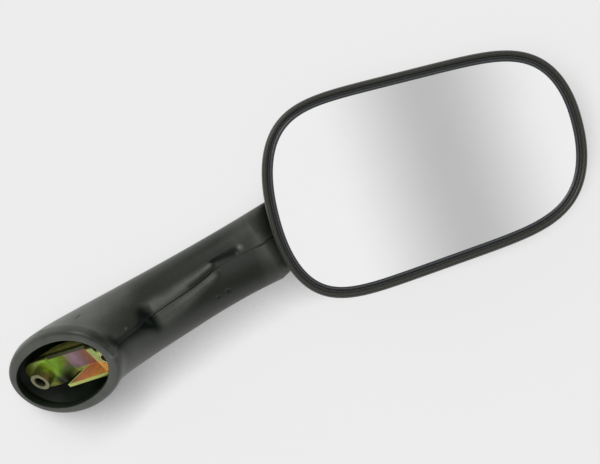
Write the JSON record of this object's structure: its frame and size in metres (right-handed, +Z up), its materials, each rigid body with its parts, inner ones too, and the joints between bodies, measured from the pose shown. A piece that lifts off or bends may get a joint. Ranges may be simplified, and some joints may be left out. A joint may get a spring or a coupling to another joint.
{
  "type": "motorcycle mirror",
  "caption": "Fairing-mounted motorcycle mirror: a ball-jointed oblong head on a rubber-covered arm with a plated steel mounting bracket in its open foot.",
  "frame": {"origin": "centre of the threaded boss's end face, which seats on the fairing", "axes": "+X outboard along the mirror's length, +Y forward and away from the rider, +Z up; the glass faces -Y"},
  "size_m": [0.3202, 0.0659, 0.1148],
  "materials": {
    "shell_plastic": "fine satin grain, black",
    "trim_plastic": "satin, dark grey-green",
    "mirror_glass": "silvered on its back, flat and clean",
    "foam": "closed-cell foam, dark grey",
    "yellow_zinc": "yellow passivated zinc with a green to pink sheen",
    "bright_steel": "bright zinc",
    "spring_steel": "dark hardened steel",
    "nylon": "natural nylon",
    "cover_rubber": "soft satin moulded rubber"
  },
  "bodies": {
    "stay": {"arm_cover": "cover_rubber", "mount_bracket": "yellow_zinc", "mount_boss": "yellow_zinc", "clinch_nut": "yellow_zinc", "stay_tube": "yellow_zinc", "stay_plug": "bright_steel", "lock_nut": "yellow_zinc", "lock_washer": "bright_steel", "ball_stud": "bright_steel"},
    "pan_seat": {"seat_rear": "nylon"},
    "tilt_seat": {"seat_front": "nylon"},
    "head": {"head_shell": "shell_plastic", "trim_ring": "trim_plastic", "mirror_glass": "mirror_glass", "glass_pad": "foam", "clamp_rear": "yellow_zinc", "clamp_front": "yellow_zinc", "clamp_screws": "bright_steel", "clamp_washers": "bright_steel", "clamp_springs": "spring_steel"}
  },
  "joints": [
    {"name": "head_pan", "type": "hinge", "parent": "stay", "child": "pan_seat", "pos_m": [0.1625, -0.014, 0.0399], "axis": [0, 0, 1], "range_deg": [-6, 6]},
    {"name": "head_tilt", "type": "hinge", "parent": "pan_seat", "child": "tilt_seat", "pos_m": [0.1625, -0.014, 0.0399], "axis": [1, 0, 0], "range_deg": [-6, 6]},
    {"name": "head_roll", "type": "hinge", "parent": "tilt_seat", "child": "head", "pos_m": [0.1625, -0.014, 0.0399], "axis": [0, 1, 0], "range_deg": [-6, 6]}
  ]
}
